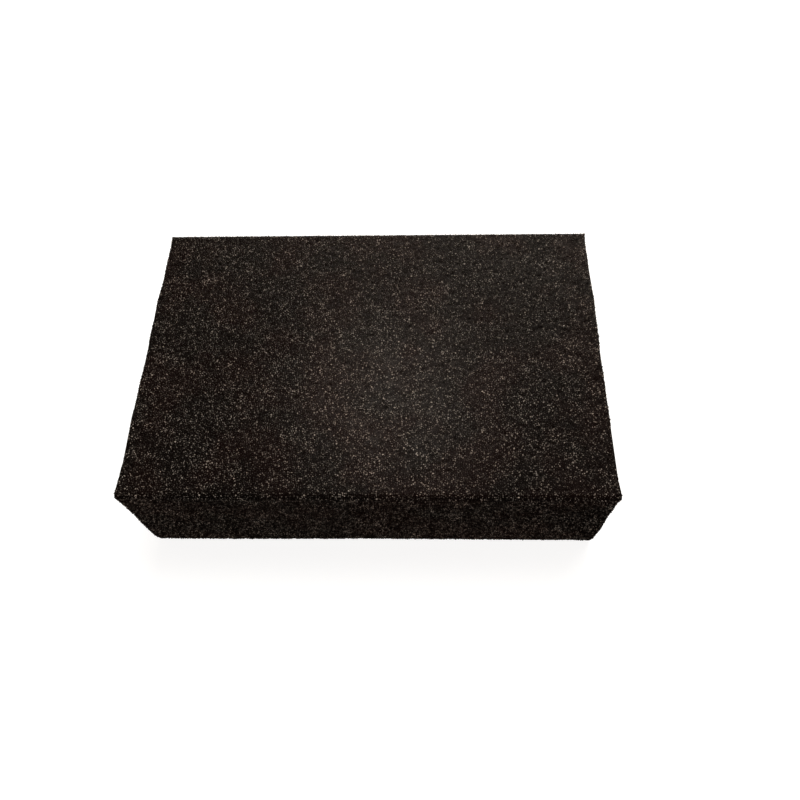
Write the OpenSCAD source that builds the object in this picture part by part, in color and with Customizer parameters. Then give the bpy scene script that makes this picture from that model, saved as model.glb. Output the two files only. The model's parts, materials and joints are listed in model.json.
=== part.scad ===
// Sanding sponge: a flexible foam block with abrasive coats on its four long faces
//
// Frame: X runs along the length, Y across the width and Z up through the thickness.
// The origin is at the centre of the base. Units are millimetres.
//
// Each coated face is built in the order that it is made in: foam, a flexible resin make coat,
// and a layer of abrasive grain locked in its size resin. The top and the bottom are coated
// first, and the two side coats then run the full height, over the edges of the other two.
// The two ends are cut last, so there the foam stays bare.

/* [Block] */
// Length of the finished block
block_length = 100; // [80:1:130]
// Width of the finished block
block_width = 68; // [50:1:100]
// Thickness of the finished block
block_thickness = 26; // [12:1:40]

/* [Coating] */
// Thickness of the flexible resin that glues the grain to the foam
make_coat_t = 0.3; // [0.1:0.05:0.6]
// Thickness of the grain layer, from the make coat to the tips of the grains
grit_t = 0.6; // [0.2:0.05:1.2]

/* [Bare ends] */
// How far the coats stand out past the edges of the cut foam, at each end
coat_lip = 0.3; // [0.1:0.1:1]
// How much further the foam draws in at the middle of its thickness
end_draw_in = 0.5; // [0.2:0.1:1.5]

/* [Hidden] */

// The coating takes this much off each coated side of the foam
coat_t = make_coat_t + grit_t;
foam_length = block_length - 2 * coat_lip;
foam_width = block_width - 2 * coat_t;
foam_thickness = block_thickness - 2 * coat_t;

// An arc through the foam's two long edges and a point end_draw_in behind them
draw_in_r = (pow(foam_thickness / 2, 2) + pow(end_draw_in, 2)) / (2 * end_draw_in);
// The cutter of that arc runs past both sides of the foam
cutter_overrun = 1;

foam_colour = "#2e2a28";
make_coat_colour = "#1b1715";
grit_colour = "#28231f";

// A box centred on X, with its other two sides given by their limits
module slab(length, y_from, y_to, z_from, z_to) {
    translate([-length / 2, y_from, z_from])
        cube([length, y_to - y_from, z_to - z_from]);
}

// A coat on a broad face: across the width of the foam, from one depth below the face to another
module broad_coat(top, outer_depth, inner_depth) {
    z_low = top ? block_thickness - inner_depth : outer_depth;
    z_high = top ? block_thickness - outer_depth : inner_depth;
    slab(block_length, -foam_width / 2, foam_width / 2, z_low, z_high);
}

// A coat on a side face: the full height, from one depth behind the face to another.
// side is -1 at the front and 1 at the back.
module side_coat(side, outer_depth, inner_depth) {
    outer = side * (block_width / 2 - outer_depth);
    inner = side * (block_width / 2 - inner_depth);
    slab(block_length, min(outer, inner), max(outer, inner), 0, block_thickness);
}

// The cutter that leaves one end of the foam slightly hollow. side is -1 or 1.
module end_cutter(side) {
    translate([side * (foam_length / 2 - end_draw_in + draw_in_r), 0, block_thickness / 2])
        rotate([90, 0, 0])
            cylinder(h = foam_width + 2 * cutter_overrun, r = draw_in_r, center = true, $fn = 360);
}

// Flexible open-cell foam, the body of the block
module foam_core() {
    color(foam_colour)
        difference() {
            slab(foam_length, -foam_width / 2, foam_width / 2, coat_t, coat_t + foam_thickness);
            end_cutter(-1);
            end_cutter(1);
        }
}

// Resin that glues the grain to the foam, one coat to each long face
module make_coat_top() {
    color(make_coat_colour) broad_coat(true, grit_t, coat_t);
}

module make_coat_bottom() {
    color(make_coat_colour) broad_coat(false, grit_t, coat_t);
}

module make_coat_front() {
    color(make_coat_colour) side_coat(-1, grit_t, coat_t);
}

module make_coat_back() {
    color(make_coat_colour) side_coat(1, grit_t, coat_t);
}

// Abrasive grain in its size resin, one layer to each make coat
module grit_top() {
    color(grit_colour) broad_coat(true, 0, grit_t);
}

module grit_bottom() {
    color(grit_colour) broad_coat(false, 0, grit_t);
}

module grit_front() {
    color(grit_colour) side_coat(-1, 0, grit_t);
}

module grit_back() {
    color(grit_colour) side_coat(1, 0, grit_t);
}

foam_core();
make_coat_top();
make_coat_bottom();
make_coat_front();
make_coat_back();
grit_top();
grit_bottom();
grit_front();
grit_back();
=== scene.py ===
# %% [markdown]
# # A foam sanding sponge
#
# A sanding sponge is a small block of flexible foam with abrasive grain glued to its long faces.
# It is made in layers, and it is built here in the same order: the foam, then a make coat of
# resin on each long face, then the grain in that resin. The imported CAD model says where each
# layer lies, so the first step loads it.

# %% Load the frame
import json
import math

import bmesh
import bpy
import numpy as np
from mathutils import Matrix, Vector

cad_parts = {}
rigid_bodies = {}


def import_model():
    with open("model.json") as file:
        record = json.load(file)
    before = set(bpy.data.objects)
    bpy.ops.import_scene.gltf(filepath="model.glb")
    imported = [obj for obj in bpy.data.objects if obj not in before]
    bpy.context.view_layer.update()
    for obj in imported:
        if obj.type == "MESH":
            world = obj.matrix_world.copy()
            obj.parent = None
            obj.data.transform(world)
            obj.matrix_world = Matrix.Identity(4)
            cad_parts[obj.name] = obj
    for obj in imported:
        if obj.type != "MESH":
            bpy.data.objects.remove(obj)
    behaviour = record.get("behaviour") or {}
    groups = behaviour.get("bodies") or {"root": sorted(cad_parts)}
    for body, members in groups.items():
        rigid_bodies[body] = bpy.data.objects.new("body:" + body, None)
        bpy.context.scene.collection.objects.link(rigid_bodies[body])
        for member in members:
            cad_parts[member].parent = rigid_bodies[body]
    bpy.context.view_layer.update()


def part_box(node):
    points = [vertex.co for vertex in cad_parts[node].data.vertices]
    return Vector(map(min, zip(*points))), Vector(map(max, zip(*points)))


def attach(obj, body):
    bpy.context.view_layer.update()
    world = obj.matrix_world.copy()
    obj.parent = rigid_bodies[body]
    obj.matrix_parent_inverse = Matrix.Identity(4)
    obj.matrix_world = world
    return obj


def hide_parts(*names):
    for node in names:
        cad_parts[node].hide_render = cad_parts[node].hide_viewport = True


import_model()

# %% [markdown]
# ## Units
#
# Blender works in metres, and a sponge's details are fractions of a millimetre. Sizes are
# easier to read in millimetres, so this one value turns them into metres everywhere.

# %% Units and the block's own sizes
MM = 0.001

foam_low, foam_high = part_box("foam_core")
block_low = Vector(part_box("grit_bottom")[0])
block_high = Vector(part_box("grit_top")[1])
block_low.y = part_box("grit_front")[0].y
block_high.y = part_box("grit_back")[1].y
centre = (block_low + block_high) / 2
print("block, mm:", [round(side / MM, 2) for side in block_high - block_low])

# %% [markdown]
# ## The camera
#
# The block is seen from close by and from well above, a little from its right, as something
# lying on a table in front of a standing person. A wide lens this close makes the far edge
# clearly shorter than the near one. The camera is aimed by its distance from a point on the
# top face, so the view can be turned without losing the block.

# %% Camera
camera_data = bpy.data.cameras.new("camera")
camera_data.lens = 32.0
camera_data.sensor_width = 36.0
camera_data.clip_start = 1 * MM
camera_data.dof.use_dof = False
camera = bpy.data.objects.new("camera", camera_data)
bpy.context.scene.collection.objects.link(camera)

aim = Vector((6.6 * MM, -12.0 * MM, block_high.z))
camera_distance = 150.8 * MM
camera_turn = math.radians(4.31)
camera_tilt = math.radians(28.95)
camera_roll = math.radians(-3.76)
camera_turned = (
    Matrix.Rotation(camera_turn, 4, "Z")
    @ Matrix.Rotation(camera_tilt, 4, "X")
    @ Matrix.Rotation(camera_roll, 4, "Z")
)
camera.matrix_world = (
    Matrix.Translation(aim) @ camera_turned @ Matrix.Translation((0, 0, camera_distance))
)
bpy.context.scene.camera = camera
print("camera at, mm:", [round(value / MM, 1) for value in camera.matrix_world.translation])

# %% [markdown]
# ## Three small helpers
#
# Colours are picked as sRGB hex values, as in any paint program, but shaders work in linear
# light, so one function turns the first into the second. Another adds a node to a tree with
# its settings and its links in one go, and the last mixes two colours.

# %% Colour and node helpers
def linear(hex_colour):
    """An sRGB hex colour such as #28231f as linear red, green, blue and an alpha of 1."""
    parts = [int(hex_colour[i : i + 2], 16) / 255 for i in (1, 3, 5)]
    return [p / 12.92 if p <= 0.04045 else ((p + 0.055) / 1.055) ** 2.4 for p in parts] + [1.0]


def add_node(tree, kind, settings=None, inputs=None):
    """Adds a node. settings are its attributes. inputs holds, by socket name or number, a value
    or the output socket of another node."""
    node = tree.nodes.new(kind)
    for name, value in (settings or {}).items():
        setattr(node, name, value)
    for key, value in (inputs or {}).items():
        if isinstance(value, bpy.types.NodeSocket):
            tree.links.new(value, node.inputs[key])
        else:
            node.inputs[key].default_value = value
    return node


def blend(tree, share, first, second):
    """A colour between two others. Each may be a colour or another node's output."""
    mixed = add_node(
        tree, "ShaderNodeMix", {"data_type": "RGBA"}, {0: share, 6: first, 7: second}
    )
    return mixed.outputs[2]


# %% [markdown]
# ## The studio
#
# A nearly black block on a white ground is hard to light: the ground should be white right up
# to the block, while the grain still has to show. So the floor is a large sheet of matt white
# paper that also glows a little, as on a light table, which leaves only a faint shadow. The
# surround is pale near the horizon. Mirrored in the grain, either would turn black to grey, so
# both are kept out of reflections, and the lamps alone make the sheen.

# %% Floor and surround
# Half of the sheet's side, in metres.
floor_half = 3.0
floor_mesh = bpy.data.meshes.new("studio_floor")
floor_mesh.from_pydata(
    [
        (-floor_half, -floor_half, block_low.z),
        (floor_half, -floor_half, block_low.z),
        (floor_half, floor_half, block_low.z),
        (-floor_half, floor_half, block_low.z),
    ],
    [],
    [(0, 1, 2, 3)],
)
floor = bpy.data.objects.new("studio_floor", floor_mesh)
bpy.context.scene.collection.objects.link(floor)

paper = bpy.data.materials.new("matt_white_paper")
paper.use_nodes = True
paper_shader = paper.node_tree.nodes["Principled BSDF"]
paper_shader.inputs["Base Color"].default_value = linear("#8f8f8d")
paper_shader.inputs["Roughness"].default_value = 0.9
paper_shader.inputs["Specular IOR Level"].default_value = 0.1
paper_shader.inputs["Emission Color"].default_value = linear("#ffffff")
paper_shader.inputs["Emission Strength"].default_value = 0.87
floor_mesh.materials.append(paper)

world = bpy.data.worlds.new("pale_studio")
world.use_nodes = True
bpy.context.scene.world = world
surround = world.node_tree
surround.nodes.clear()
# The surround dims overhead, where the softbox does the work. Heights are those of a direction:
# 0 at the horizon and 1 straight up.
dimming_starts = 0.3
dimming_ends = 0.8
horizon_strength = 0.8
overhead_strength = 0.1
direction = add_node(surround, "ShaderNodeTexCoord")
height = add_node(
    surround, "ShaderNodeSeparateXYZ", inputs={"Vector": direction.outputs["Generated"]}
)
fade = add_node(
    surround,
    "ShaderNodeMapRange",
    {"interpolation_type": "SMOOTHSTEP"},
    {
        "Value": height.outputs["Z"],
        "From Min": dimming_starts,
        "From Max": dimming_ends,
        "To Min": horizon_strength,
        "To Max": overhead_strength,
    },
)
# Seen directly it is plain white, and only the light that it sheds is dimmed and warmed.
seen = add_node(surround, "ShaderNodeLightPath").outputs["Is Camera Ray"]
surround_strength = add_node(
    surround, "ShaderNodeMix", {"data_type": "FLOAT"}, {0: seen, 2: fade.outputs["Result"], 3: 1.0}
)
background = add_node(
    surround,
    "ShaderNodeBackground",
    inputs={
        "Color": blend(surround, seen, linear("#fff0e2"), linear("#ffffff")),
        "Strength": surround_strength.outputs[0],
    },
)
add_node(
    surround, "ShaderNodeOutputWorld", inputs={"Surface": background.outputs["Background"]}
)

# %% [markdown]
# ## The lights
#
# Three softboxes and a spot share the work, and each has one job. The overhead softbox stands
# behind the block and lights the pale flecks. The rear one is low, so its light skims the top
# and gives the far half a dull sheen. The fill is small and warm and lifts the front face. The
# spot is mirrored in the middle of the top, where it makes a soft brighter patch. Only the
# rear softbox and the spot may be mirrored in the grain.

# %% Softboxes
def softbox(name, place, width, depth, power, tint, mirrored):
    """A rectangular area light, turned to face the block. Sizes are metres and power is watts.
    No view shows the light itself, and the grain shows its reflection only where mirrored."""
    data = bpy.data.lights.new(name, "AREA")
    data.shape = "RECTANGLE"
    data.size = width
    data.size_y = depth
    data.energy = power
    data.color = tint
    light = bpy.data.objects.new(name, data)
    light.location = place
    light.rotation_euler = (centre - Vector(place)).to_track_quat("-Z", "Y").to_euler()
    light.visible_camera = False
    light.visible_glossy = mirrored
    bpy.context.scene.collection.objects.link(light)


softbox(
    "overhead_softbox",
    place=(0.15, 0.3, 0.8),
    width=0.5,
    depth=0.4,
    power=6.0,
    tint=(1.0, 1.0, 1.0),
    mirrored=False,
)
softbox(
    "rear_softbox",
    place=(0.05, 0.24, 0.2),
    width=0.25,
    depth=0.08,
    power=1.05,
    tint=(1.0, 0.88, 0.76),
    mirrored=True,
)
softbox(
    "fill_softbox",
    place=(0.25, -0.24, 0.16),
    width=0.2,
    depth=0.2,
    power=0.08,
    tint=(1.0, 0.5, 0.45),
    mirrored=False,
)

# %% [markdown]
# ## The bright patch
#
# A lamp mirrored in a rough, dark face shows as a soft patch without an edge. A real lamp there
# would light the whole top, so a narrow spot stands in for it. Its beam fades right from its
# middle, and it is aimed a little in front of the block's centre.

# %% Spot
spot_data = bpy.data.lights.new("centre_spot", "SPOT")
spot_data.energy = 11.5
spot_data.color = (1.0, 0.9, 0.8)
spot_data.spot_size = math.radians(5)
spot_data.spot_blend = 1.0
spot_data.shadow_soft_size = 0.012
spot = bpy.data.objects.new("centre_spot", spot_data)
spot.location = (-0.03, 0.25, 0.55)
bright_patch = Vector((5.0 * MM, -11.0 * MM, block_high.z))
spot.rotation_euler = (bright_patch - spot.location).to_track_quat("-Z", "Y").to_euler()
bpy.context.scene.collection.objects.link(spot)

# %% [markdown]
# ## Reflections and tones
#
# Black resin mirrors a few hundredths of what it faces, which is more than its own colour
# gives back. A white studio mirrored all over would hide the black, so only lamps may show.

# %% Reflections and tones
world.cycles_visibility.glossy = False
floor.visible_glossy = False
# The plain transform keeps white paper white and black grain black.
bpy.context.scene.view_settings.view_transform = "Standard"

# %% [markdown]
# ## Materials
#
# Three materials make the block: grain, resin and foam. Each needs the same few things: a
# colour that drifts from place to place, a gloss that isn't even and a fine relief. A small
# function makes each of them from noise, with its pattern's size given in millimetres. All read
# object coordinates, so a pattern stays on the piece when the piece moves.

# %% Patterns that all the materials use
# The batch of resin and dye changes slowly along the block, with patches of this size.
batch_drift_mm = 14


def mottle(tree, size_mm, detail, low, high):
    """A slow change from place to place, from 0 to 1, with patches of about size_mm."""
    where = add_node(tree, "ShaderNodeTexCoord")
    noise = add_node(
        tree,
        "ShaderNodeTexNoise",
        inputs={
            "Vector": where.outputs["Object"],
            "Scale": 1 / (size_mm * MM),
            "Detail": detail,
            "Roughness": 0.55,
        },
    )
    spread = add_node(
        tree,
        "ShaderNodeMapRange",
        {"interpolation_type": "SMOOTHSTEP"},
        {"Value": noise.outputs["Fac"], "From Min": low, "From Max": high},
    )
    return spread.outputs["Result"]


def relief(tree, shader, size_mm, depth_mm):
    """Fine bumps of about size_mm, as deep as depth_mm, in a shader's normal."""
    where = add_node(tree, "ShaderNodeTexCoord")
    noise = add_node(
        tree,
        "ShaderNodeTexNoise",
        inputs={"Vector": where.outputs["Object"], "Scale": 1 / (size_mm * MM), "Detail": 2.0},
    )
    bump = add_node(
        tree,
        "ShaderNodeBump",
        inputs={"Height": noise.outputs["Fac"], "Distance": depth_mm * MM, "Strength": 1.0},
    )
    tree.links.new(bump.outputs["Normal"], shader.inputs["Normal"])


def uneven_gloss(tree, shader, size_mm, smooth, rough):
    """A roughness that wanders between two values in patches of about size_mm."""
    gloss = add_node(
        tree,
        "ShaderNodeMapRange",
        inputs={"Value": mottle(tree, size_mm, 3, 0.3, 0.7), "To Min": smooth, "To Max": rough},
    )
    tree.links.new(gloss.outputs["Result"], shader.inputs["Roughness"])


# %% [markdown]
# ## Silicon carbide grain
#
# The grain is silicon carbide, crushed and then locked in a thin size coat of black resin. Most
# grains are coated all over and nearly black, and some show a bare grey fracture face: those
# are the flecks that give the surface its speckle. Their pale grey is partly that face's own
# colour and partly a painted highlight, standing in for the glint of the bare face. Every grain
# carries a random tone from 0 to 1. A high power of that tone makes pale grains few, and a slow
# pattern makes them a little commoner in some patches. Bare faces are smoother than coated ones,
# so gloss follows the tone.

# %% Grain material
pale_glint_rarity = 4.7
patch_mm = 3
patchiness = 0.35
coated_roughness = 0.55
bare_roughness = 0.35


def grit_material(name):
    """Silicon carbide grain in size resin. Each grain's tone is an attribute from 0 to 1."""
    material = bpy.data.materials.new(name)
    material.use_nodes = True
    tree = material.node_tree
    shader = tree.nodes["Principled BSDF"]
    tone = add_node(tree, "ShaderNodeAttribute", {"attribute_name": "tone"})
    batch_drift = mottle(tree, batch_drift_mm, detail=3, low=0.4, high=0.6)
    dark = blend(tree, batch_drift, linear("#060301"), linear("#0a0301"))
    # Pale grains: partly the bare face's own grey, partly a painted highlight for its glint.
    pale = blend(tree, batch_drift, linear("#827c74"), linear("#857b72"))
    few_pale_glints = add_node(
        tree, "ShaderNodeMath", {"operation": "POWER"}, {0: tone.outputs["Fac"], 1: pale_glint_rarity}
    )
    patchy = add_node(
        tree,
        "ShaderNodeMapRange",
        inputs={
            "Value": mottle(tree, patch_mm, detail=2, low=0.3, high=0.7),
            "To Min": 1 - patchiness,
            "To Max": 1 + patchiness,
        },
    )
    pale_glint_share = add_node(
        tree,
        "ShaderNodeMath",
        {"operation": "MULTIPLY"},
        {0: few_pale_glints.outputs[0], 1: patchy.outputs[0]},
    )
    paler = blend(tree, pale_glint_share.outputs[0], dark, pale)
    tree.links.new(paler, shader.inputs["Base Color"])
    gloss = add_node(
        tree,
        "ShaderNodeMapRange",
        inputs={
            "Value": tone.outputs["Fac"],
            "To Min": coated_roughness,
            "To Max": bare_roughness,
        },
    )
    tree.links.new(gloss.outputs["Result"], shader.inputs["Roughness"])
    # Cured resin has an index near 1.5. It is rough at sizes that the shards don't show, so
    # only a fifth of its usual reflection is kept, and 0.5 would be all of it.
    shader.inputs["IOR"].default_value = 1.5
    shader.inputs["Specular IOR Level"].default_value = 0.1
    relief(tree, shader, size_mm=0.08, depth_mm=0.006)
    return material


grit = grit_material("silicon_carbide_grain")

# %% [markdown]
# ## Make coat resin
#
# The make coat is a flexible phenolic resin, brushed on and cured nearly black. Grain hides
# most of it, so between the grains it only has to be dark, with a dull and uneven gloss. At the
# cut ends of the block it shows in section, where it has soaked into the foam and is paler.

# %% Make coat material
resin = bpy.data.materials.new("phenolic_make_coat")
resin.use_nodes = True
resin_tree = resin.node_tree
resin_shader = resin_tree.nodes["Principled BSDF"]
resin_top_colour = blend(
    resin_tree,
    mottle(resin_tree, batch_drift_mm, detail=3, low=0.4, high=0.6),
    linear("#0a0706"),
    linear("#0e0706"),
)
# The films' grids carry a mark, "outside", that tells their faces from the cut ends.
resin_cut_colour = blend(
    resin_tree,
    mottle(resin_tree, size_mm=0.5, detail=2, low=0.4, high=0.6),
    linear("#12100f"),
    linear("#262220"),
)
outside_share = add_node(resin_tree, "ShaderNodeAttribute", {"attribute_name": "outside"})
resin_colour = blend(
    resin_tree, outside_share.outputs["Fac"], resin_cut_colour, resin_top_colour
)
resin_tree.links.new(resin_colour, resin_shader.inputs["Base Color"])
uneven_gloss(resin_tree, resin_shader, size_mm=1.5, smooth=0.4, rough=0.6)
relief(resin_tree, resin_shader, size_mm=0.3, depth_mm=0.03)
# Between the grains it lies in their shade, where hardly any of its reflection gets out.
resin_shader.inputs["IOR"].default_value = 1.5
resin_shader.inputs["Specular IOR Level"].default_value = 0.05

# %% [markdown]
# ## Cut foam
#
# The foam is flexible polyurethane, dyed dark grey all through. A cut leaves torn cell walls,
# which scatter light every way, so it is very matt. Its cells are modelled, and the material
# adds only the drift of the dye and the fine tears on the walls.

# %% Foam material
foam_paint = bpy.data.materials.new("flexible_polyurethane_foam")
foam_paint.use_nodes = True
foam_tree = foam_paint.node_tree
foam_shader = foam_tree.nodes["Principled BSDF"]
foam_colour = blend(
    foam_tree,
    mottle(foam_tree, size_mm=6, detail=4, low=0.35, high=0.65),
    linear("#23201e"),
    linear("#302b28"),
)
foam_tree.links.new(foam_colour, foam_shader.inputs["Base Color"])
uneven_gloss(foam_tree, foam_shader, size_mm=1.0, smooth=0.75, rough=0.95)
relief(foam_tree, foam_shader, size_mm=0.2, depth_mm=0.03)
foam_shader.inputs["Specular IOR Level"].default_value = 0.25

# %% [markdown]
# ## Running a node tree over a piece
#
# The foam's cells, the coats' hollows and the grains all come from Geometry Nodes trees. A
# helper sets a tree's named inputs on a modifier, takes the finished mesh and removes the
# modifier again, so that each piece ends as plain geometry.

# %% Geometry Nodes helpers
def new_tree(name, sockets):
    """A Geometry Nodes tree with a geometry input and output and further named inputs."""
    tree = bpy.data.node_groups.new(name, "GeometryNodeTree")
    tree.interface.new_socket("Geometry", in_out="INPUT", socket_type="NodeSocketGeometry")
    tree.interface.new_socket("Geometry", in_out="OUTPUT", socket_type="NodeSocketGeometry")
    for label, kind in sockets.items():
        tree.interface.new_socket(label, in_out="INPUT", socket_type="NodeSocket" + kind)
    return tree


def run_tree(piece, tree, values):
    """The mesh that a tree makes of a piece. values holds the tree's inputs by name."""
    modifier = piece.modifiers.new(tree.name, "NODES")
    modifier.node_group = tree
    identifiers = {
        item.name: item.identifier
        for item in tree.interface.items_tree
        if item.item_type == "SOCKET" and item.in_out == "INPUT"
    }
    for label, value in values.items():
        modifier[identifiers[label]] = value
    graph = bpy.context.evaluated_depsgraph_get()
    made = bpy.data.meshes.new_from_object(
        piece.evaluated_get(graph), preserve_all_data_layers=True, depsgraph=graph
    )
    piece.modifiers.remove(modifier)
    return made


def new_piece(name, mesh):
    """An object at the origin that shows a mesh."""
    mesh.name = name
    piece = bpy.data.objects.new(name, mesh)
    bpy.context.scene.collection.objects.link(piece)
    return piece


# %% [markdown]
# ## Open cells
#
# Foam is a pack of bubbles. Where it is cut, the bubbles are open, with thin walls between
# them, and a coat brushed over it sinks a little into each one. A Voronoi pattern has the same
# structure, so one tree pushes a surface in at the middle of each cell and leaves it alone at
# the walls. Some cells stay nearly closed, as in real foam, so the depth is drawn cell by cell.
# How deep each point went is kept as an attribute, for the grain to read.

# %% Tree that opens cells in a surface
ripple_share = 0.7


def cell_tree():
    """The tree. Wall and Middle are distances from a cell's wall, in cell sizes: the surface
    stays put up to the first and is at its full depth from the second on."""
    tree = new_tree(
        "open_cells",
        {
            "Cell size": "Float",
            "Depth": "Float",
            "Wall": "Float",
            "Middle": "Float",
            "Closed share": "Float",
        },
    )
    given = add_node(tree, "NodeGroupInput").outputs
    scale = add_node(
        tree, "ShaderNodeMath", {"operation": "DIVIDE"}, {0: 1.0, 1: given["Cell size"]}
    ).outputs[0]
    where = add_node(tree, "GeometryNodeInputPosition").outputs[0]
    # Ripples in the pattern's coordinates keep the cell walls from being straight.
    ripple = add_node(
        tree, "ShaderNodeTexNoise", inputs={"Vector": where, "Scale": scale, "Detail": 1.0}
    )
    ripple_size = add_node(
        tree, "ShaderNodeMath", {"operation": "MULTIPLY"}, {0: given["Cell size"], 1: ripple_share}
    ).outputs[0]
    ripple_step = add_node(
        tree,
        "ShaderNodeVectorMath",
        {"operation": "SCALE"},
        {0: ripple.outputs["Color"], "Scale": ripple_size},
    ).outputs[0]
    bent = add_node(
        tree, "ShaderNodeVectorMath", {"operation": "ADD"}, {0: where, 1: ripple_step}
    ).outputs[0]
    wall_distance = add_node(
        tree,
        "ShaderNodeTexVoronoi",
        {"feature": "DISTANCE_TO_EDGE"},
        {"Vector": bent, "Scale": scale},
    ).outputs["Distance"]
    cell = add_node(
        tree, "ShaderNodeTexVoronoi", {"feature": "F1"}, {"Vector": bent, "Scale": scale}
    ).outputs["Color"]
    cell_draw = add_node(
        tree, "FunctionNodeSeparateColor", {"mode": "RGB"}, {"Color": cell}
    ).outputs["Red"]
    open_share = add_node(
        tree,
        "ShaderNodeMapRange",
        {"interpolation_type": "SMOOTHSTEP"},
        {"Value": cell_draw, "From Min": given["Closed share"], "From Max": 1.0},
    ).outputs["Result"]
    hollow = add_node(
        tree,
        "ShaderNodeMapRange",
        {"interpolation_type": "SMOOTHSTEP"},
        {"Value": wall_distance, "From Min": given["Wall"], "From Max": given["Middle"]},
    ).outputs["Result"]
    pit = add_node(
        tree, "ShaderNodeMath", {"operation": "MULTIPLY"}, {0: hollow, 1: open_share}
    ).outputs[0]
    keep_pit = add_node(
        tree,
        "GeometryNodeStoreNamedAttribute",
        {"data_type": "FLOAT", "domain": "POINT"},
        {"Geometry": given["Geometry"], "Name": "pit", "Value": pit},
    )
    inwards = add_node(
        tree, "ShaderNodeMath", {"operation": "MULTIPLY"}, {0: pit, 1: given["Depth"]}
    ).outputs[0]
    inwards = add_node(
        tree, "ShaderNodeMath", {"operation": "MULTIPLY"}, {0: inwards, 1: -1.0}
    ).outputs[0]
    outward = add_node(
        tree,
        "GeometryNodeInputNamedAttribute",
        {"data_type": "FLOAT_VECTOR"},
        {"Name": "outward"},
    ).outputs["Attribute"]
    step = add_node(
        tree, "ShaderNodeVectorMath", {"operation": "SCALE"}, {0: outward, "Scale": inwards}
    ).outputs[0]
    moved = add_node(
        tree,
        "GeometryNodeSetPosition",
        inputs={"Geometry": keep_pit.outputs["Geometry"], "Offset": step},
    )
    add_node(tree, "NodeGroupOutput", inputs={0: moved.outputs["Geometry"]})
    return tree


open_cells = cell_tree()

# %% [markdown]
# ## The shape of the ends
#
# Sponges are cut from a long coated bar, and then handled. The cut wanders by a tenth of a
# millimetre, the stiff coats spread at the corners that were pressed, and the lower corners
# are rubbed round. One function moves any points in this way. The foam and the films both go
# through it, so that the layers stay together.

# %% Shape left by cutting and handling
# In a pair, the first value is for the right end of the block and the second for the left.
still_half = 30 * MM
moved_reach = 20 * MM
corner_flare = (0.75 * MM, 0.45 * MM)
flare_height = (1.0 * MM, 2.0 * MM)
flare_width = 5 * MM
front_narrowing = (0.45 * MM, 0.2 * MM)
corner_rub = (0.7 * MM, 1.3 * MM)
rub_height = 3 * MM
front_bulge = 0.3 * MM
bulge_height = 12 * MM


def handled(co):
    """Moves points at the block's ends, as cutting and handling leave them: the coats flare
    at the top front corners, the lower corners are rubbed round, the cut isn't straight and
    the front bulges a little low on the left."""
    co = np.array(co, float)
    x, y, z = co[:, 0], co[:, 1], co[:, 2]
    right = x > 0
    end = np.sign(x) * np.clip((np.abs(x) - still_half) / moved_reach, 0, 1) ** 3
    fade = np.where(right, *flare_height)
    from_corner = np.hypot((y - block_low.y) / flare_width, (z - block_high.z) / fade)
    flare = np.where(right, *corner_flare) * np.exp(-(from_corner**2))
    to_front = np.clip(-y / block_high.y, 0, 1)
    narrowed = np.where(right, *front_narrowing) * to_front
    to_floor = np.clip(1 - (z - block_low.z) / rub_height, 0, 1)
    rubbed = np.where(right, *corner_rub) * to_floor**2
    # Two waves of different lengths make the cut wander without repeating.
    waver = 0.12 * MM * np.sin(y / (4.1 * MM) + z / (2.3 * MM)) + 0.08 * MM * np.sin(
        y / (1.7 * MM) - z / (3.1 * MM) + 1.3
    )
    co[:, 0] = x + end * (flare - narrowed - rubbed + waver)
    to_left = np.clip(-x / still_half, 0, 1)
    below_middle = np.clip(1 - (z - block_low.z) / bulge_height, 0, 1)
    co[:, 1] = y - front_bulge * to_front * to_left * below_middle
    return co


# %% [markdown]
# ## The make coats
#
# Each make coat is a film of resin on one face of the foam. It could be a flat box, but its
# surface shows between the grains and sinks into the foam's cells, so it is a fine grid that
# the cells push in. Each film is an outline across the block, run along its length. The top
# and the bottom have flat outlines. The front one wraps round both long edges, and the back
# one is the same outline reflected.

# %% Film of resin
grid_step = 0.4 * MM
top_depth = 1.0 * MM
bottom_depth = 0.8 * MM
side_depth = 1.15 * MM
end_reach = 0.15 * MM
# The cells push in less at the long edges, where the resin gathers.
edge_give = 0.4
edge_width = 1.2 * MM
corner_steps = 3


def flat_outline(level, inner, out_z):
    """Points across the top or the bottom film, as y, z and the outward direction there. The
    first and the last lie under the film, where nothing may move, so they have no direction."""
    count = round((foam_high.y - foam_low.y) / grid_step)
    across = []
    for i in range(count + 1):
        from_edge = min(i, count - i) * grid_step
        give = edge_give + (1 - edge_give) * min(from_edge / edge_width, 1)
        y = foam_low.y + (foam_high.y - foam_low.y) * i / count
        across.append((y, level, 0.0, give * out_z))
    first = (foam_low.y, inner, 0.0, 0.0)
    last = (foam_high.y, inner, 0.0, 0.0)
    return [first] + across + [last]


def front_outline():
    """Points up the front film, from under the block to its top, round both long edges."""
    outline = []
    for i in range(corner_steps):
        angle = math.radians(90) * i / corner_steps
        out_y, out_z = -math.sin(angle), -math.cos(angle)
        y, z = foam_low.y + side_depth * out_y, foam_low.z + bottom_depth * out_z
        outline.append((y, z, edge_give * out_y, edge_give * out_z))
    count = round((foam_high.z - foam_low.z) / grid_step)
    for i in range(count):
        z = foam_low.z + (foam_high.z - foam_low.z) * i / count
        outline.append((foam_low.y - side_depth, z, -1.0, 0.0))
    for i in range(corner_steps + 1):
        angle = math.radians(90) * i / corner_steps
        out_y, out_z = -math.cos(angle), math.sin(angle)
        y, z = foam_low.y + side_depth * out_y, foam_high.z + top_depth * out_z
        outline.append((y, z, edge_give * out_y, edge_give * out_z))
    return outline


def mirrored(outline):
    """An outline reflected front to back and run the other way, so that it still faces out."""
    return [(-y, z, -out_y, out_z) for y, z, out_y, out_z in reversed(outline)]


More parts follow.
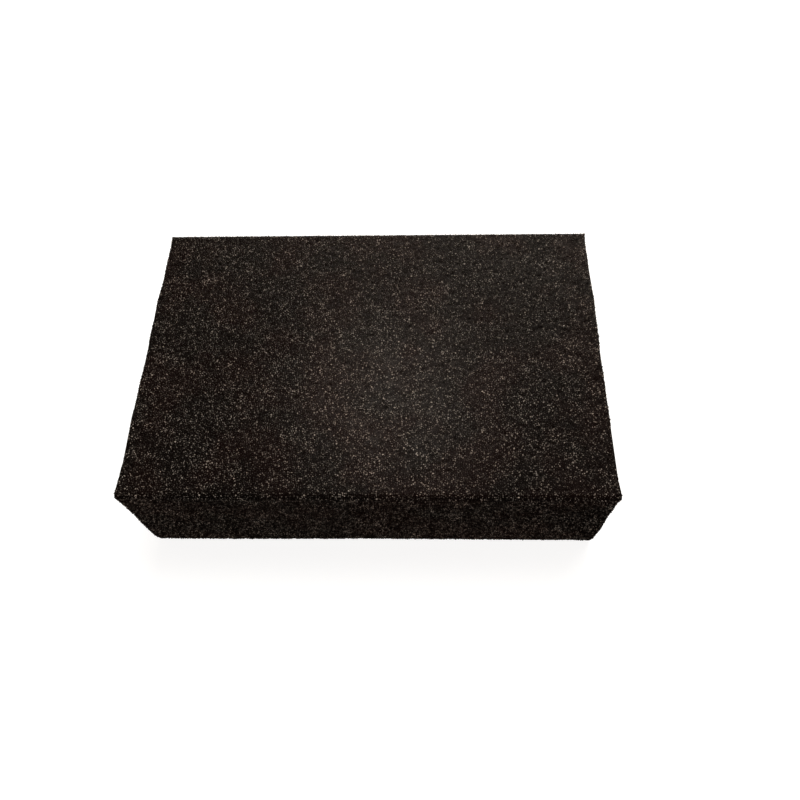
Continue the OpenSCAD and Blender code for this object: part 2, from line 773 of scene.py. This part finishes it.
def film_mesh(outline):
    """A closed film: an outline across the block, run along its length in a fine grid."""
    columns = round((block_high.x - block_low.x) / grid_step) + 1
    rows = len(outline)
    along = np.linspace(block_low.x - end_reach, block_high.x + end_reach, columns)
    across = np.array(outline)
    co = np.zeros((rows, columns, 3))
    co[:, :, 0] = along
    co[:, :, 1] = across[:, 0:1]
    co[:, :, 2] = across[:, 1:2]
    outward = np.zeros((rows, columns, 3))
    outward[:, :, 1] = across[:, 2:3]
    outward[:, :, 2] = across[:, 3:4]

    at = np.arange(rows * columns).reshape(rows, columns)
    quads = np.stack([at[:-1, :-1], at[:-1, 1:], at[1:, 1:], at[1:, :-1]], -1).reshape(-1, 4)
    under = list(at[0, ::-1]) + list(at[-1, :])
    near_end = list(at[:, -1])[::-1]
    far_end = list(at[:, 0])
    faces = quads.tolist() + [[int(i) for i in ring] for ring in (under, near_end, far_end)]
    mesh = bpy.data.meshes.new("film")
    mesh.from_pydata(handled(co.reshape(-1, 3)).tolist(), [], faces)
    mesh.attributes.new("outward", "FLOAT_VECTOR", "POINT").data.foreach_set(
        "vector", outward.reshape(-1).astype(np.float32)
    )
    mesh.attributes.new("outside", "BOOLEAN", "FACE").data.foreach_set(
        "value", np.arange(len(faces)) < len(quads)
    )
    return mesh


under = flat_outline(foam_low.z - bottom_depth, foam_low.z, -1.0)
outlines = {
    "top": flat_outline(foam_high.z + top_depth, foam_high.z, 1.0),
    "front": front_outline(),
    "bottom": under[::-1],
    "back": mirrored(front_outline()),
}
films = {}
for side, outline in outlines.items():
    film = new_piece("resin_film_" + side, film_mesh(outline))
    film.data = run_tree(
        film,
        open_cells,
        {
            "Cell size": 0.8 * MM,
            "Depth": 0.35 * MM,
            "Wall": 0.06,
            "Middle": 0.35,
            "Closed share": 0.3,
        },
    )
    film.data.name = film.name
    film.data.materials.append(resin)
    films[side] = film
    print(film.name, "faces:", len(film.data.polygons))

# %% [markdown]
# ## The foam core
#
# Only the two cut ends of the foam show. They are fine grids with open cells, joined by long
# plain faces that the coats hide. The foam is softer than the coats, so between them each end
# draws in, by the half millimetre that the CAD solid has.

# %% Foam block
foam_step = 0.16 * MM
end_draw_in = 0.5 * MM


def foam_mesh():
    columns = round((foam_high.y - foam_low.y) / foam_step) + 1
    rows = round((foam_high.z - foam_low.z) / foam_step) + 1
    across, up = np.meshgrid(
        np.linspace(foam_low.y, foam_high.y, columns), np.linspace(foam_low.z, foam_high.z, rows)
    )
    bow_z = 1 - ((up - centre.z) / ((foam_high.z - foam_low.z) / 2)) ** 2
    bow_y = 1 - (across / foam_high.y) ** 8
    draw_in = end_draw_in * bow_z * bow_y
    co = []
    outward = []
    faces = []
    at = np.arange(rows * columns).reshape(rows, columns)
    quads = np.stack([at[:-1, :-1], at[:-1, 1:], at[1:, 1:], at[1:, :-1]], -1).reshape(-1, 4)
    for end, edge in ((1, foam_high.x), (-1, foam_low.x)):
        x = edge - end * draw_in
        co.append(np.stack([x, across, up], -1).reshape(-1, 3))
        outward.append(np.tile([float(end), 0.0, 0.0], (rows * columns, 1)))
    faces += quads.tolist()
    faces += (quads[:, ::-1] + rows * columns).tolist()
    rim = list(at[0, :]) + list(at[1:, -1]) + list(at[-1, -2::-1]) + list(at[-2:0:-1, 0])
    for a, b in zip(rim, rim[1:] + rim[:1]):
        faces.append([int(b), int(a), int(a + rows * columns), int(b + rows * columns)])
    mesh = bpy.data.meshes.new("foam")
    mesh.from_pydata(handled(np.concatenate(co)).tolist(), [], faces)
    mesh.attributes.new("outward", "FLOAT_VECTOR", "POINT").data.foreach_set(
        "vector", np.concatenate(outward).reshape(-1).astype(np.float32)
    )
    return mesh


foam = new_piece("foam_core_cut", foam_mesh())
foam.data = run_tree(
    foam,
    open_cells,
    {
        "Cell size": 0.8 * MM,
        "Depth": 0.5 * MM,
        "Wall": 0.02,
        "Middle": 0.2,
        "Closed share": -0.6,
    },
)
foam.data.materials.append(foam_paint)
print("foam faces:", len(foam.data.polygons))

# %% [markdown]
# ## Crushed grain
#
# Abrasive grain is crushed, sieved and scattered onto the wet make coat. Every grain is a
# shard with flat fracture faces and sharp corners, and no two lie the same way. A few shard
# shapes are enough, because each copy is turned and sized at random. Coarse grains start as
# double pyramids on a triangle and smaller ones as tetrahedra, each with its corners knocked
# out of place. There are hundreds of thousands of them, so none has more than six faces.

# %% Shards
rng = np.random.default_rng(7)
least_stretch = 0.7
most_stretch = 1.3
corner_shift = 0.22
waist = np.arange(3) * math.tau / 3
bipyramid = np.vstack(
    [np.stack([np.cos(waist), np.sin(waist), 0 * waist], -1), [(0, 0, 1), (0, 0, -1)]]
)
tetrahedron = np.array([(1, 1, 1), (1, -1, -1), (-1, 1, -1), (-1, -1, 1)], float) / math.sqrt(3)


def shard_collection(name, corners, count):
    """A collection of shards of about unit radius, with the corners moved at random."""
    shards = bpy.data.collections.new(name)
    for number in range(count):
        stretch = rng.uniform(least_stretch, most_stretch, 3)
        moved = (corners + rng.normal(0, corner_shift, corners.shape)) * stretch
        shape = bmesh.new()
        for corner in moved:
            shape.verts.new(corner)
        bmesh.ops.convex_hull(shape, input=shape.verts)
        loose = [v for v in shape.verts if not v.link_faces]
        bmesh.ops.delete(shape, geom=loose, context="VERTS")
        bmesh.ops.recalc_face_normals(shape, faces=shape.faces)
        mesh = bpy.data.meshes.new(f"{name}_{number}")
        shape.to_mesh(mesh)
        shape.free()
        shards.objects.link(bpy.data.objects.new(mesh.name, mesh))
    return shards


coarse_shards = shard_collection("coarse_shards", bipyramid, 8)
fine_shards = shard_collection("fine_shards", tetrahedron, 6)


# %% [markdown]
# ## Scattering the grain
#
# Real grain falls everywhere but never lies twice in one place, which is what Poisson disc
# points do: they are random, yet keep a least distance. The tree drops them on the outside of
# a film, leaves the deepest pits bare, puts a random shard on each one and draws its tone. The
# cut ends get none, because the knife goes through after the grain is on.

# %% Tree that scatters grain on a coat
# Five tries for each grain that fits fill the surface about as closely as it can be.
tries_per_grain = 5.0
shallow_pit = 0.2
smallest_grain = 0.7
largest_grain = 1.3
seed_gap = 100.0


def grain_tree(material):
    tree = new_tree(
        "scattered_grain",
        {
            "Shards": "Collection",
            "Radius": "Float",
            "Spacing": "Float",
            "Bare pits": "Float",
            "Darkest": "Float",
            "Palest": "Float",
            "Seed": "Int",
        },
    )
    given = add_node(tree, "NodeGroupInput").outputs
    outside = add_node(
        tree, "GeometryNodeInputNamedAttribute", {"data_type": "BOOLEAN"}, {"Name": "outside"}
    ).outputs["Attribute"]
    pit = add_node(
        tree, "GeometryNodeInputNamedAttribute", {"data_type": "FLOAT"}, {"Name": "pit"}
    ).outputs["Attribute"]
    factor = add_node(
        tree,
        "ShaderNodeMapRange",
        inputs={
            "Value": pit,
            "From Min": shallow_pit,
            "From Max": given["Bare pits"],
            "To Min": 1.0,
            "To Max": 0.0,
        },
    ).outputs["Result"]
    square = add_node(
        tree, "ShaderNodeMath", {"operation": "POWER"}, {0: given["Spacing"], 1: 2.0}
    ).outputs[0]
    tries = add_node(
        tree, "ShaderNodeMath", {"operation": "DIVIDE"}, {0: tries_per_grain, 1: square}
    ).outputs[0]
    points = add_node(
        tree,
        "GeometryNodeDistributePointsOnFaces",
        {"distribute_method": "POISSON"},
        {
            "Mesh": given["Geometry"],
            "Selection": outside,
            "Distance Min": given["Spacing"],
            "Density Max": tries,
            "Density Factor": factor,
            "Seed": given["Seed"],
        },
    )

    def draw(kind, low, high, step):
        """A random value for each grain. Every draw has a seed of its own."""
        seed = add_node(
            tree, "ShaderNodeMath", {"operation": "ADD"}, {0: given["Seed"], 1: seed_gap * step}
        )
        node = add_node(
            tree, "FunctionNodeRandomValue", {"data_type": kind}, {"Seed": seed.outputs[0]}
        )
        first = 0 if kind == "FLOAT_VECTOR" else 2
        for place, limit in ((first, low), (first + 1, high)):
            if isinstance(limit, bpy.types.NodeSocket):
                tree.links.new(limit, node.inputs[place])
            else:
                node.inputs[place].default_value = limit
        return node.outputs[first // 2]

    kinds = add_node(
        tree,
        "GeometryNodeCollectionInfo",
        inputs={"Collection": given["Shards"], "Separate Children": True, "Reset Children": True},
    )
    turned = draw("FLOAT_VECTOR", (0, 0, 0), (math.tau, math.tau, math.tau), 1)
    sized = draw("FLOAT", smallest_grain, largest_grain, 2)
    sized = add_node(
        tree, "ShaderNodeMath", {"operation": "MULTIPLY"}, {0: sized, 1: given["Radius"]}
    ).outputs[0]
    grains = add_node(
        tree,
        "GeometryNodeInstanceOnPoints",
        inputs={
            "Points": points.outputs["Points"],
            "Instance": kinds.outputs["Instances"],
            "Pick Instance": True,
            "Rotation": turned,
            "Scale": sized,
        },
    )
    tone = draw("FLOAT", given["Darkest"], given["Palest"], 3)
    toned = add_node(
        tree,
        "GeometryNodeStoreNamedAttribute",
        {"data_type": "FLOAT", "domain": "INSTANCE"},
        {"Geometry": grains.outputs["Instances"], "Name": "tone", "Value": tone},
    )
    whole = add_node(
        tree, "GeometryNodeRealizeInstances", inputs={"Geometry": toned.outputs["Geometry"]}
    )
    painted = add_node(
        tree,
        "GeometryNodeSetMaterial",
        inputs={"Geometry": whole.outputs["Geometry"], "Material": material},
    )
    add_node(tree, "NodeGroupOutput", inputs={0: painted.outputs["Geometry"]})
    return tree


scattered_grain = grain_tree(grit)

# %% [markdown]
# ## Grain on every coat
#
# A sieve lets a range of sizes through, so there are three grades. The coarse one has the
# palest flecks, the medium one fills in between them and the fine one is mostly dark. Grades
# are separate pieces of one layer, each with its own seed, so they overlap as real grain does.
# Each piece also gets a flat UV map: an export can then bake its colours without having to
# unwrap thousands of loose shards.

# %% Grain on each coat
def flat_map(mesh, side):
    """Lays a UV map flat on the face that the grains lie on, so that thousands of loose grains
    share one map by their place and an export need not unwrap each of them."""
    co = np.zeros(len(mesh.vertices) * 3)
    mesh.vertices.foreach_get("co", co)
    co = co.reshape(-1, 3)
    second = 1 if side in ("top", "bottom") else 2
    low = co.min(0)
    size = co.max(0) - low
    u = (co[:, 0] - low[0]) / size[0]
    v = (co[:, second] - low[second]) / size[second]
    corner = np.zeros(len(mesh.loops), np.int32)
    mesh.loops.foreach_get("vertex_index", corner)
    layer = mesh.uv_layers.new(name="OFBake")
    layer.data.foreach_set("uv", np.stack([u, v], -1)[corner].reshape(-1).astype(np.float32))


grades = {
    "coarse": {
        "Shards": coarse_shards,
        "Radius": 0.17 * MM,
        "Spacing": 0.40 * MM,
        "Bare pits": 1.4,
        "Darkest": 0.3,
        "Palest": 1.0,
    },
    "medium": {
        "Shards": fine_shards,
        "Radius": 0.16 * MM,
        "Spacing": 0.37 * MM,
        "Bare pits": 1.4,
        "Darkest": 0.0,
        "Palest": 1.0,
    },
    "fine": {
        "Shards": fine_shards,
        "Radius": 0.11 * MM,
        "Spacing": 0.34 * MM,
        "Bare pits": 1.8,
        "Darkest": 0.0,
        "Palest": 0.3,
    },
}
seeds_per_side = 11
grains = {}
for number, (side, film) in enumerate(films.items()):
    for step, (grade, values) in enumerate(grades.items()):
        seed = seeds_per_side * number + step
        mesh = run_tree(film, scattered_grain, {**values, "Seed": seed})
        flat_map(mesh, side)
        piece = new_piece(f"grit_{side}_{grade}", mesh)
        grains[piece.name] = (piece, side)
        print(piece.name, "faces:", len(mesh.polygons))


# %% [markdown]
# ## Maps and smoothing for the films and the foam
#
# The films and the foam get UV maps too, but only now, because the trees make new meshes from
# them above. Their grids are shaded smooth, as cured resin and torn foam have no facets, but
# their rims stay sharp, or a dark line would show where two films meet. The shards stay flat,
# since their facets are real, and the shapes they were copied from can go.

# %% Maps and smoothing
# Each of these is a stretch of the map, from 0 to 1, across it or up it.
map_width = (0.01, 0.99)
left_half = (0.01, 0.49)
right_half = (0.51, 0.99)
hidden_band = (0.02, 0.07)
grid_band = (0.1, 0.9)
cut_band = (0.93, 0.99)


def share_of(stretch, share):
    """The place that lies a share of the way along a stretch."""
    return stretch[0] + (stretch[1] - stretch[0]) * share


def film_map(mesh, outline):
    """Unrolls a film: its grid in the middle of the map, its hidden face in a strip below, and
    its two cut ends side by side in a strip above."""
    rows = len(outline)
    columns = len(mesh.vertices) // rows
    corner = np.zeros(len(mesh.loops), np.int32)
    mesh.loops.foreach_get("vertex_index", corner)
    row, column = np.divmod(corner, columns)
    places = np.stack(
        [share_of(map_width, column / (columns - 1)), share_of(grid_band, row / (rows - 1))], -1
    )
    section = np.array(outline)[:, :2]
    section = (section - section.min(0)) / (section.max(0) - section.min(0))
    for number, polygon in enumerate(list(mesh.polygons)[-3:]):
        loops = np.arange(polygon.loop_start, polygon.loop_start + polygon.loop_total)
        if number == 0:
            places[loops, 1] = share_of(hidden_band, row[loops] > 0)
        else:
            half = left_half if number == 1 else right_half
            places[loops, 0] = share_of(half, section[row[loops], 0])
            places[loops, 1] = share_of(cut_band, section[row[loops], 1])
    layer = mesh.uv_layers.new(name="OFBake")
    layer.data.foreach_set("uv", places.reshape(-1).astype(np.float32))


first_end_band = (0.01, 0.47)
second_end_band = (0.49, 0.95)
between_band = (0.97, 0.99)


def foam_map(mesh):
    """Lays the foam's two ends one above the other, with the faces between them in a strip."""
    count = len(mesh.vertices) // 2
    columns = round((foam_high.y - foam_low.y) / foam_step) + 1
    rows = count // columns
    corner = np.zeros(len(mesh.loops), np.int32)
    mesh.loops.foreach_get("vertex_index", corner)
    end, place = np.divmod(corner, count)
    row, column = np.divmod(place, columns)
    u = share_of(map_width, column / (columns - 1))
    up = row / (rows - 1)
    v = np.where(end == 0, share_of(first_end_band, up), share_of(second_end_band, up))
    corners_of_both_grids = 4 * 2 * (rows - 1) * (columns - 1)
    between = np.arange(len(corner)) >= corners_of_both_grids
    v = np.where(between, share_of(between_band, end), v)
    layer = mesh.uv_layers.new(name="OFBake")
    layer.data.foreach_set("uv", np.stack([u, v], -1).reshape(-1).astype(np.float32))


sharp_angle = math.radians(50)
for side, film in films.items():
    film_map(film.data, outlines[side])
foam_map(foam.data)
for mesh in [film.data for film in films.values()] + [foam.data]:
    smooth = [len(polygon.vertices) == 4 for polygon in mesh.polygons]
    mesh.polygons.foreach_set("use_smooth", smooth)
    mesh.set_sharp_from_angle(angle=sharp_angle)

for shards in (coarse_shards, fine_shards):
    for shape in list(shards.objects):
        bpy.data.objects.remove(shape)
    bpy.data.collections.remove(shards)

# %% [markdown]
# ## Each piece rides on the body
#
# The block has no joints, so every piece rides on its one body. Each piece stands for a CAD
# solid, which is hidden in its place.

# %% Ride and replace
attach(foam, "root")
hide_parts("foam_core")
for side, film in films.items():
    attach(film, "root")
    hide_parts("make_coat_" + side)
for piece, side in grains.values():
    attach(piece, "root")
    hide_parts("grit_" + side)
